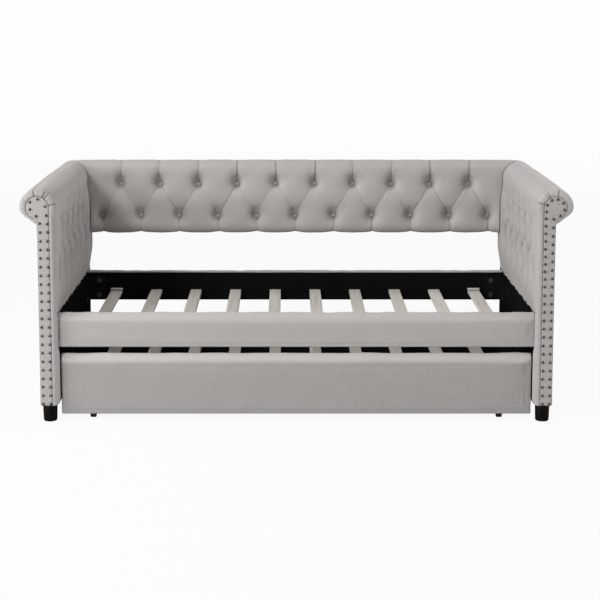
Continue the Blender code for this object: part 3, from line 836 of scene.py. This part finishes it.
def arm_cover(side, label, seed):
    upper, lower = arm_buttons()
    grid, deck_row = inflated_arm(label, upper + lower)
    normals = outward(grid, grid_normals(grid))
    x, y, z, v = grid[:, :, 0], grid[:, :, 1], grid[:, :, 2], arm_surface(grid)
    on_face = (v > DECK_Z + 0.004) & (v < ROLL_Z + 2 * ROLL_R) & (y > FRONT_Y + NOSE)
    calm = smoothstep(FRONT_Y + 0.02, FRONT_Y + 0.09, y) * on_face
    calm = calm * (1 - smoothstep(BACK_LOW.y - 0.04, BACK_LOW.y - 0.005, y))
    height, painted_shading = arm_tufting(y, v, upper, lower, side, seed)
    height = (height + 0.0008 * ripple(y, v, 0.07, seed + 3)) * calm
    tucks, tuck_shade = gathers(grid, seed + 4)
    height += tucks + 0.0006 * ripple(y, z, 0.16, seed + 5) * smoothstep(ROLL_X, OUTER_X, x)
    # Painted shade in the pleats and the tucks.
    painted_shading = calm * painted_shading + tuck_shade
    # Painted shade along the seam where the cover meets the facing.
    painted_shading[:, :2 * FINE] += np.linspace(0.8, 0.2, 2 * FINE)
    # Painted light: the right arm's scroll and the left arm's inner face are painted lighter.
    over, within = ARM_PAINTED_LIGHT[side]
    high = smoothstep(ROLL_Z + 0.01, ROLL_Z + 0.05, z)
    painted_shading -= over * high + within * (1 - high) * on_face
    grid = grid + normals * height[:, :, None]
    spots = seats(grid, on_face, y, v, upper + lower)
    swell_strip(grid)
    tuck_behind_lining(grid, deck_row)
    round_heel(grid)
    grid[:, :, 0] *= side
    piece("arm_cover_" + label, grid_mesh("arm_cover_" + label, grid, painted_shading), "fabric",
          replaces=("arm_pad_" + label, "arm_frame_" + label))
    buttons = [button((side * spot.x, spot.y, spot.z), (-side, 0, 0), 0.008) for spot in spots]
    piece("arm_buttons_" + label, merged("arm_buttons_" + label, buttons), "fabric")


def swell_strip(grid):
    """The narrow front strip below the deck is padded too, and swells a little inward."""
    x, y, z = grid[:, :, 0], grid[:, :, 1], grid[:, :, 2]
    strip = (x < BOARD_X - 0.004) & (z < DECK_Z + 0.002)
    swell = smoothstep(FRONT_Y + 0.003, FRONT_Y + 0.016, y) * (1 - smoothstep(0.020, 0.030, y - FRONT_Y))
    rise = smoothstep(ARM_BOTTOM, ARM_BOTTOM + 0.03, z)
    rail_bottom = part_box("front_rail_pad")[0].z
    beside_rail = smoothstep(rail_bottom - 0.024, rail_bottom + 0.006, z)
    most = 0.0095 - 0.0050 * beside_rail
    grid[:, :, 0] = np.where(strip, x - most * swell * rise, x)


def tuck_behind_lining(grid, deck_row):
    """Below the deck the cover passes behind the black-lined board, with a wavy hem."""
    x, z = grid[:, :, 0], grid[:, :, 2]
    along = grid[deck_row, :, 1]
    beside = along > LINING_LOW.y - 0.0006
    wave = 0.5 + 0.5 * np.sin(along * 52 + 1.2 * np.sin(along * 23))
    wave *= smoothstep(FRONT_Y + 0.065, FRONT_Y + 0.105, along)
    wave *= 1 - smoothstep(REAR_Y - 0.145, REAR_Y - 0.105, along)
    hem = DECK_Z + 0.0006 - 0.0065 * wave
    behind = (x < BOARD_X) & (z < DECK_Z - 0.0005) & beside[None, :]
    grid[:, :, 0] = np.where(behind, BOARD_X + 0.0003, x)
    grid[deck_row, beside, 0] = INNER_X - 0.0012
    grid[deck_row, beside, 2] = hem[beside]
    grid[deck_row + 1, beside, 0] = BOARD_X + 0.0003
    grid[deck_row + 1, beside, 2] = hem[beside] - 0.0002


def round_heel(grid):
    """Round the lower rear corner, as the board beneath is."""
    radius = 0.040
    cy, cz = REAR_Y - radius, ARM_BOTTOM + radius
    dy, dz = grid[:, :, 1] - cy, grid[:, :, 2] - cz
    away = np.hypot(dy, dz)
    out = (dy > 0) & (dz < 0) & (away > radius)
    scale = np.where(out, radius / np.maximum(away, 1e-9), 1)
    grid[:, :, 1] = np.where(out, cy + dy * scale, grid[:, :, 1])
    grid[:, :, 2] = np.where(out, cz + dz * scale, grid[:, :, 2])


# ---- Facings and nailheads ----

def facing_outline(inset):
    """Keyhole outline (x, z) of the right facing, drawn in by inset."""
    radius = CORE_R - inset
    root = math.degrees(math.asin(min(1, (OUTER_X - inset - ROLL_X) / radius)))
    scroll = arc(ROLL_CENTRE, radius, -90 + root, 176, 44)
    post = spaced([(BOARD_X + inset, ROLL_Z - 0.004), (BOARD_X + inset, ARM_BOTTOM + inset),
                   (OUTER_X - inset, ARM_BOTTOM + inset), scroll[0]], 0.012)
    return [tuple(p) for p in post] + scroll


def even_ring(outline, count):
    """Points evenly spaced round a closed outline."""
    closed = np.vstack([outline, outline[:1]])
    run = np.concatenate([[0], np.cumsum(np.hypot(*np.diff(closed, axis=0).T))])
    at = np.linspace(0, run[-1], count + 1)[:-1]
    return np.stack([np.interp(at, run, closed[:, k]) for k in (0, 1)], 1)


def arm_facing(side, label):
    """Flat upholstered panel with softly rounded edges."""
    rings = ((0.0008, 0.0055), (0.0008, 0.0025), (0.0016, 0.0008), (0.0032, 0.0), (0.0055, -0.0003))
    count = 4 * len(facing_outline(0.001))
    bm = bmesh.new()
    loops = [[bm.verts.new((side * x, FRONT_Y + back, z))
              for x, z in even_ring(np.array(facing_outline(inset)), count)]
             for inset, back in rings]
    for near, far in zip(loops, loops[1:]):
        for k in range(count):
            n = (k + 1) % count
            bm.faces.new((near[k], near[n], far[n], far[k]))
    bm.faces.new(loops[-1])
    bm.faces.new(loops[0])
    mesh = merged("arm_facing_panel_" + label, [bm])
    piece("arm_facing_panel_" + label, mesh, "fabric", replaces=("arm_facing_" + label,))


NAIL_LOW = 0.077                # height of the lowest nails
# Nails down the post: distance in from its inner edge, count, spacing, and how much closer
# together the upper ones sit
POST_NAILS = {
    -1: ((0.007, 22, 0.0364, 0.0), (0.038, 22, 0.0364, 0.0)),
    1: ((0.008, 24, 0.0356, 0.0037), (0.038, 23, 0.0356, 0.0))}
CLOSER_FROM = 14
# Nails round the scroll: angle in degrees and distance from its centre
SCROLL_NAILS = {
    -1: ((170, 0.034), (96, 0.037), (41, 0.039), (-11, 0.031), (-83, 0.034), (220, 0.050)),
    1: ((162, 0.038), (119, 0.037), (76, 0.037), (32, 0.037), (-12, 0.037), (-59, 0.037),
        (202, 0.042))}


def nail(x, z, rng):
    """Domed upholstery nail, set very slightly askew."""
    radius, height = 0.0064, 0.0044
    profile = [(0, height)] + [(radius * math.sin(a), height * math.cos(a) ** 0.9)
                               for a in np.radians((18, 36, 54, 70, 84))]
    profile += [(radius, 0.0), (radius * 0.92, -0.0008), (0, -0.0008)]
    axis = Vector((rng.uniform(-0.07, 0.07), -1, rng.uniform(-0.07, 0.07))).normalized()
    return turned(profile, (x, FRONT_Y - 0.0002, z), axis, 20)


def nailheads(side, label, seed):
    rng = np.random.default_rng(seed)
    spots = [(BOARD_X + column, NAIL_LOW + pitch * row - closer * max(0, row - CLOSER_FROM))
             for column, count, pitch, closer in POST_NAILS[side] for row in range(count)]
    spots += [polar(ROLL_CENTRE, distance, degrees) for degrees, distance in SCROLL_NAILS[side]]
    off = 0.0009
    nails = [nail(side * (x + rng.uniform(-off, off)), z + rng.uniform(-off, off), rng) for x, z in spots]
    piece("nailheads_" + label, merged("nailheads_" + label, nails), "nail_pewter")


# ---- Rails and trundle front ----

def rail_section(node, board, facing, drop):
    """Closed section (y, z) of a padded board, and how many of its points are on the padding."""
    low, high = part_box(node)
    outer, inner = (low.y, high.y) if facing < 0 else (high.y, low.y)
    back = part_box(board)
    joint = back[0].y if facing < 0 else back[1].y
    lap = back[1].z
    full, thick = abs(inner - outer), abs(joint - outer) - 0.0004
    nose, tall, hem = min(0.026, full - 0.008), 0.028, 0.006
    top, bottom = high.z - drop, low.z

    def at(depth, z):
        return (outer - facing * depth, z)

    rise = [at(hem, bottom)] + [at(hem - hem * math.sin(a), bottom + hem - hem * math.cos(a))
                                for a in np.radians((30, 60, 90))]
    crown = [at(nose - nose * math.cos(a), top - tall + tall * math.sin(a))
             for a in np.radians(range(0, 91, 10))]
    lip = [at(full - 0.004, top), at(full - 0.001, top - 0.003), at(full, top - 0.010)]
    lip += [at(full - 0.0003, lap + 0.0006), at(thick, lap + 0.0006), at(thick, bottom)]
    fine = spaced(rise + crown + lip[:3], 0.008)
    return np.concatenate([fine, spaced(lip[2:] + [at(hem, bottom)], 0.014)]), len(fine)


def rail_cover(name, node, board, facing, seed, body="root", painted_face_shade=0.0, drop=0.0, painted_top_light=0.50):
    """Padded board: crowned face, soft top edge and a lap inside it. facing is -1 for the front.

    painted_face_shade above 0 is painted shade over the whole cover, drop is how far its top settles, and
    painted_top_light is how much painted light the band along the top gets.
    """
    low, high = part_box(node)
    top, bottom = high.z - drop, low.z
    section, fine_rows = rail_section(node, board, facing, drop)
    edge = 0.004
    grid = swept(section, stations_between(low.x + 0.0005, high.x - 0.0005, 0.016, edge), edge)
    pinned = np.ones(grid.shape[:2])
    pinned[3:fine_rows - 2, 2:-2] = 0.0
    grid = refine(puff(name + "_sim", grid, pinned, 0.8, 0.003))
    x, z = grid[:, :, 0], grid[:, :, 2]
    near_end = np.exp(-np.minimum(x - low.x, high.x - x) / 0.06)
    height = 0.0009 * ripple(x, z * 2, 0.22, seed) + 0.0010 * near_end * ripple(x * 2, z, 0.05, seed + 1)
    height += 0.0012 * ripple(x, 0 * z, 0.12, seed + 2) * smoothstep(top - 0.012, top - 0.002, z)
    height *= smoothstep(bottom, bottom + 0.02, z)
    normals = grid_normals(grid)
    middle = grid.shape[1] // 2
    front_row = int(np.argmax(grid[:, middle, 1] * facing))
    normals *= math.copysign(1, normals[front_row, middle, 1] * facing)
    grid = grid + normals * height[:, :, None]
    # Painted light along the band at the top, and any painted shade over the whole cover.
    mottle_and_painted_top_light = painted_top_light * smoothstep(top - 0.045, top - 0.025, z)
    piece(name, grid_mesh(name, grid, painted_face_shade - mottle_and_painted_top_light), "fabric", body=body, replaces=(node,))


# ---- Small pieces ----

def foot(label):
    """Turned, tapered foot with eased edges and a felt-thin glide."""
    low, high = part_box("foot_" + label)
    centre = ((low.x + high.x) / 2, (low.y + high.y) / 2, 0)
    top_r, height = (high.x - low.x) / 2, high.z
    bottom_r = top_r - 0.002
    profile = [(0, height), (top_r - 0.0012, height), (top_r, height - 0.0012),
               (bottom_r, 0.0045), (bottom_r - 0.0005, 0.0030), (bottom_r - 0.0025, 0.0026),
               (bottom_r - 0.0025, 0.0), (0, 0.0)]
    mesh = merged("turned_foot_" + label, [turned(profile, centre, (0, 0, 1), 64)])
    piece("turned_foot_" + label, mesh, "black_foot", replaces=("foot_" + label,))


def wheel(label):
    """Moulded caster wheel: eased tread, dished sides and a raised hub."""
    low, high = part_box("caster_wheel_" + label)
    centre = (low + high) / 2
    radius, half = (high.z - low.z) / 2, (high.x - low.x) / 2
    bore, hub = 0.0043, 0.0085
    side = [(bore, half), (hub, half), (hub + 0.0008, half - 0.0022), (radius - 0.0055, half - 0.0026),
            (radius - 0.0040, half - 0.0006), (radius - 0.0016, half - 0.0006), (radius, half - 0.0028)]
    profile = side + [(r, -h) for r, h in reversed(side)] + [side[0]]
    mesh = merged("moulded_wheel_" + label, [turned(profile, centre, (1, 0, 0), 64)])
    piece("moulded_wheel_" + label, mesh, "black_plastic", body="wheel_" + label,
          replaces=("caster_wheel_" + label,))


def eased_block(low, high, ease):
    bm = bmesh.new()
    bmesh.ops.create_cube(bm, size=1)
    low, high = Vector(low), Vector(high)
    bmesh.ops.scale(bm, vec=high - low, verts=bm.verts)
    bmesh.ops.translate(bm, vec=(low + high) / 2, verts=bm.verts)
    bmesh.ops.bevel(bm, geom=bm.edges[:], offset=ease, segments=3, affect="EDGES", profile=0.5)
    return bm


def slat_stop(node, label):
    """Short block that caps the rear end of an end slat, with a thin black strip before it."""
    low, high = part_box(node)
    for kind, slot, wider, front, rear, height, ease in (
            ("stop", "slat_wood", 0.002, 0.026, 0.0, 0.0075, 0.0016),
            ("dark_strip", "black_lining", 0.001, 0.032, 0.0265, 0.0022, 0.0007)):
        name = f"slat_{kind}_{label}"
        block = eased_block((low.x - wider, high.y - front, high.z + 0.0003),
                            (high.x + wider, high.y - rear, high.z + height), ease)
        piece(name, merged(name, [block]), slot)


# ---- Studio ----

BACKDROP = 0.985                # brightness of the floor and backdrop to the camera


def floor():
    """Pale floor that keeps faint shadows: mostly its own light to the camera, plain to the rest."""
    bm = bmesh.new()
    bmesh.ops.create_grid(bm, x_segments=1, y_segments=1, size=30)
    mesh = bpy.data.meshes.new("studio_floor")
    bm.to_mesh(mesh)
    bm.free()
    obj = bpy.data.objects.new("studio_floor", mesh)
    obj.location.z = -0.0004
    bpy.context.scene.collection.objects.link(obj)
    material, tree, shader = new_material("studio_floor", (0.8, 0.8, 0.8), 0.9)
    glow = add(tree, "Emission", Color=(1, 1, 1, 1), Strength=BACKDROP)
    bright = add(tree, "MixShader", Fac=0.06, i1=glow.outputs[0], i2=shader.outputs[0])
    away = add(tree, "VectorMath", i0=add(tree, "TexCoord").outputs["Object"])
    away.operation = "LENGTH"
    far = add(tree, "MapRange", Value=away.outputs["Value"], From_Min=4.0, From_Max=12.0)
    faded = add(tree, "MixShader", Fac=far.outputs[0], i1=bright.outputs[0], i2=glow.outputs[0])
    seen = add(tree, "LightPath").outputs["Is Camera Ray"]
    both = add(tree, "MixShader", Fac=seen, i1=shader.outputs[0], i2=faded.outputs[0])
    tree.links.new(both.outputs[0], tree.nodes["Material Output"].inputs["Surface"])
    mesh.materials.append(material)


def world():
    world_data = bpy.data.worlds.new("studio")
    bpy.context.scene.world = world_data
    world_data.use_nodes = True
    tree = world_data.node_tree
    background = tree.nodes["Background"]
    background.inputs["Color"].default_value = (1, 1, 1, 1)
    seen = add(tree, "LightPath").outputs["Is Camera Ray"]
    ambient = 0.27
    strength = arithmetic(tree, "MULTIPLY_ADD", seen, BACKDROP - ambient, ambient)
    feed(tree, background.inputs["Strength"], strength)


def softbox(name, place, size, power):
    """White rectangular lamp aimed at the middle of the bed."""
    light = bpy.data.lights.new(name, "AREA")
    light.shape = "RECTANGLE"
    light.size, light.size_y = size
    light.energy = power
    obj = bpy.data.objects.new(name, light)
    obj.location = place
    middle = Vector((0, 0, 0.5))
    obj.rotation_euler = (middle - Vector(place)).to_track_quat("-Z", "Y").to_euler()
    bpy.context.scene.collection.objects.link(obj)


def camera():
    """Camera at eye height in front of the bed, looking slightly down."""
    data = bpy.data.cameras.new("camera")
    data.lens, data.sensor_width = 93.1, 36.0
    data.shift_x, data.shift_y = 0.0209, -0.16
    obj = bpy.data.objects.new("camera", data)
    eye_height, distance, aside = 1.795, 6.33, -0.037
    horizon = 0.516                 # height of eye level above the middle, in image widths
    tilt = math.atan((horizon + data.shift_y) * data.sensor_width / data.lens)
    obj.location = (aside, FRONT_Y - distance, eye_height)
    obj.rotation_euler = (math.pi / 2 - tilt, 0, 0)
    data.clip_end = 200
    bpy.context.scene.collection.objects.link(obj)
    bpy.context.scene.camera = obj


# ---- Assembly ----

dress_cad_nodes()
back_cushion()
for side, label in SIDES:
    arm_cover(side, label, 20 + 10 * side)
    arm_facing(side, label)
    nailheads(side, label, 40 + side)
rail_cover("front_rail_cover", "front_rail_pad", "front_rail_board", -1, 61)
rail_cover("rear_rail_cover", "rear_rail_pad", "rear_rail_board", 1, 71)
# The trundle's front gets painted shade all over, and more painted light along its top than the rails.
rail_cover("trundle_front_cover", "trundle_front_pad", "trundle_front_board", -1, 81, body="trundle",
           painted_face_shade=0.2, drop=0.004, painted_top_light=1.05)
for corner in ("front_left", "front_right", "rear_left", "rear_right"):
    foot(corner)
    wheel(corner)
slat_stop("bed_slat_01", "left")
slat_stop("bed_slat_10", "right")

floor()
world()
softbox("key", (-4.8, -6.3, 5.4), (2.2, 2.2), 355)
softbox("side", (-6.0, -2.6, 2.4), (2.0, 2.0), 212)
softbox("fill", (5.0, -1.0, 1.8), (2.0, 2.0), 84)
softbox("top", (0, 0.2, 4.2), (4.5, 2.5), 34)
camera()
bpy.context.scene.view_settings.view_transform = "Standard"
